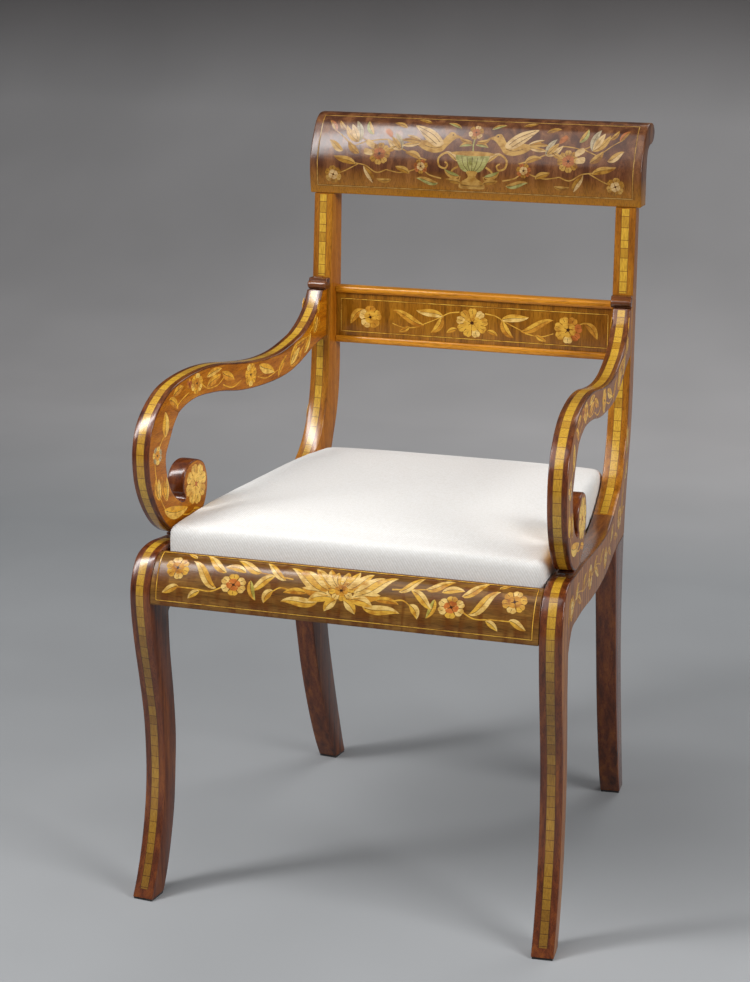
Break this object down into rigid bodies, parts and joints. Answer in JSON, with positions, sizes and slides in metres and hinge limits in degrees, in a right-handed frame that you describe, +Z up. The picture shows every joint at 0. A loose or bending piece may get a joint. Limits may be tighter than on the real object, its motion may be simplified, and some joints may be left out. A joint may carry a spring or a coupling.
{
  "type": "lyre back chair",
  "caption": "Marquetry armchair with sabre front legs, S-shaped scroll arms, a rolled crest rail, a horizontal mid rail and a white drop-in seat.",
  "frame": {"origin": "on the floor, under the middle of the chair's box in plan", "axes": "+X to the right as seen from the front, +Y to the back (the chair faces -Y), +Z up"},
  "size_m": [0.5104, 0.5725, 0.87],
  "materials": {
    "mahogany": "French polished, high gloss",
    "marquetry_veneer": "French polished marquetry veneer, high gloss",
    "satinwood_banding": "French polished inlay, high gloss",
    "beech": "bare, sawn and planed",
    "steel": "plain",
    "felt": "pressed felt",
    "jute": "plain woven",
    "horsehair": "loose curled hair",
    "white_twill": "fine twill weave",
    "dust_cloth": "plain woven cotton"
  },
  "bodies": {
    "chair_frame": {"crest_rail": "marquetry_veneer", "mid_rail": "marquetry_veneer", "mid_rail_moulding_top": "mahogany", "mid_rail_moulding_bottom": "mahogany", "front_seat_rail": "marquetry_veneer", "rear_seat_rail": "mahogany", "front_leg_left": "mahogany", "front_leg_right": "mahogany", "front_leg_banding_left": "satinwood_banding", "front_leg_banding_right": "satinwood_banding", "side_rail_left": "mahogany", "side_rail_right": "mahogany", "back_stile_left": "mahogany", "back_stile_right": "mahogany", "stile_banding_lower_left": "satinwood_banding", "stile_banding_lower_right": "satinwood_banding", "stile_banding_upper_left": "satinwood_banding", "stile_banding_upper_right": "satinwood_banding", "rear_leg_left": "mahogany", "rear_leg_right": "mahogany", "arm_rest_left": "mahogany", "arm_rest_right": "mahogany", "arm_scroll_left": "mahogany", "arm_scroll_right": "mahogany", "arm_banding_left": "satinwood_banding", "arm_banding_right": "satinwood_banding", "arm_dowel_left": "beech", "arm_dowel_right": "beech", "arm_collar_left": "mahogany", "arm_collar_right": "mahogany", "arm_spacer_left": "mahogany", "arm_spacer_right": "mahogany", "arm_foot_screw_left": "steel", "arm_foot_screw_right": "steel", "arm_back_screw_left": "steel", "arm_back_screw_right": "steel", "arm_screw_plug_left": "mahogany", "arm_screw_plug_right": "mahogany", "corner_block_front_left": "beech", "corner_block_front_right": "beech", "corner_block_rear_left": "beech", "corner_block_rear_right": "beech", "seat_cleat_left": "beech", "seat_cleat_right": "beech", "front_foot_pad_left": "felt", "front_foot_pad_right": "felt", "rear_foot_pad_left": "felt", "rear_foot_pad_right": "felt"},
    "seat": {"seat_frame_front": "beech", "seat_frame_rear": "beech", "seat_frame_left": "beech", "seat_frame_right": "beech", "seat_webbing": "jute", "seat_hessian": "jute", "seat_stuffing": "horsehair", "seat_cover": "white_twill", "seat_dust_cloth": "dust_cloth"}
  },
  "joints": [
    {"name": "seat_lift", "type": "slide", "parent": "chair_frame", "child": "seat", "axis": [0, 0, 1], "range_m": [0, 0.05]}
  ]
}
